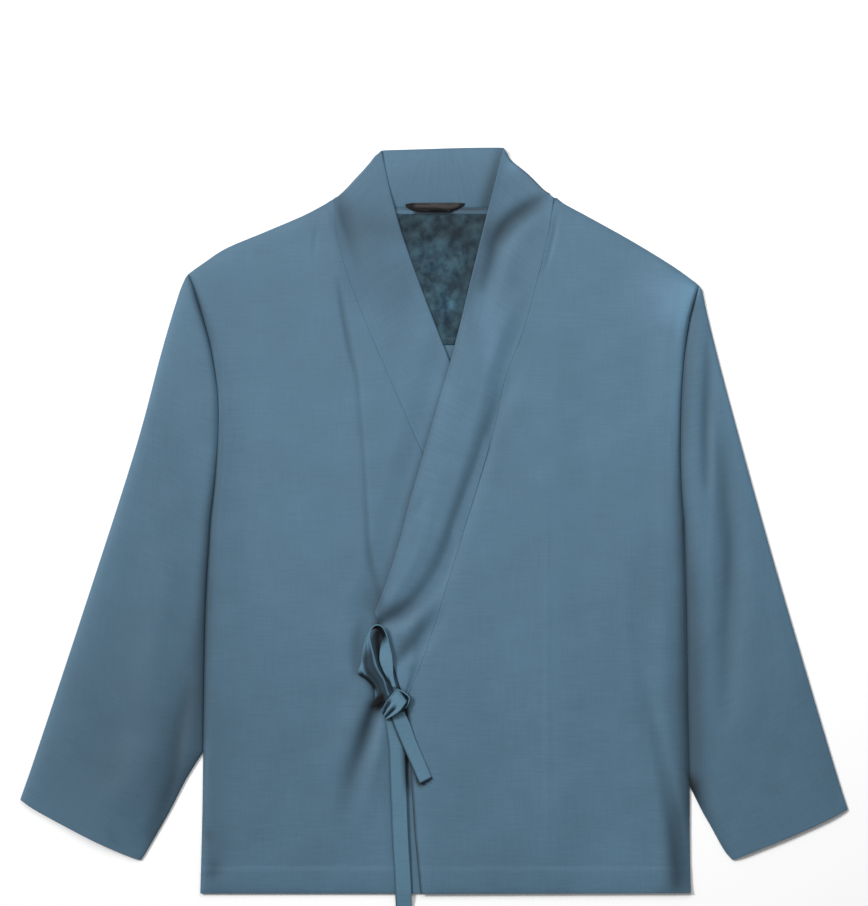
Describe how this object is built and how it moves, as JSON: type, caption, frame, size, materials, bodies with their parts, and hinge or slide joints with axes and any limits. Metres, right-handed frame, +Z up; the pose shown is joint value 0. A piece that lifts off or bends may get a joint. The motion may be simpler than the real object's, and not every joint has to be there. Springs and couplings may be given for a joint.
{
  "type": "kimono jacket",
  "caption": "Wrap-front jacket with a long folded collar band, three-quarter sleeves and a tied half bow, laid flat with its front up.",
  "frame": {"origin": "middle of the outline, on the surface the jacket lies on", "axes": "+X towards the wearer's left, +Y from the hem to the neck, +Z up from the surface, out of the jacket's front"},
  "size_m": [0.864, 0.8151, 0.0196],
  "materials": {
    "body_cloth": "smooth dusty blue weave with fine slubs and a soft sheen",
    "collar_cloth": "the same weave, double and pressed",
    "lining": "dark teal satin",
    "tape": "matte brown-grey tape"
  },
  "bodies": {
    "root": {"back": "body_cloth", "back_yoke_lining": "lining", "neck_tape": "body_cloth", "hanger_loop": "tape", "front_right": "body_cloth", "front_left": "body_cloth", "collar": "collar_cloth", "sleeve_right": "body_cloth", "sleeve_left": "body_cloth", "tie_loop": "body_cloth", "tie_knot": "body_cloth", "tie_tail_short": "body_cloth", "tie_tail_long": "body_cloth"}
  },
  "joints": []
}
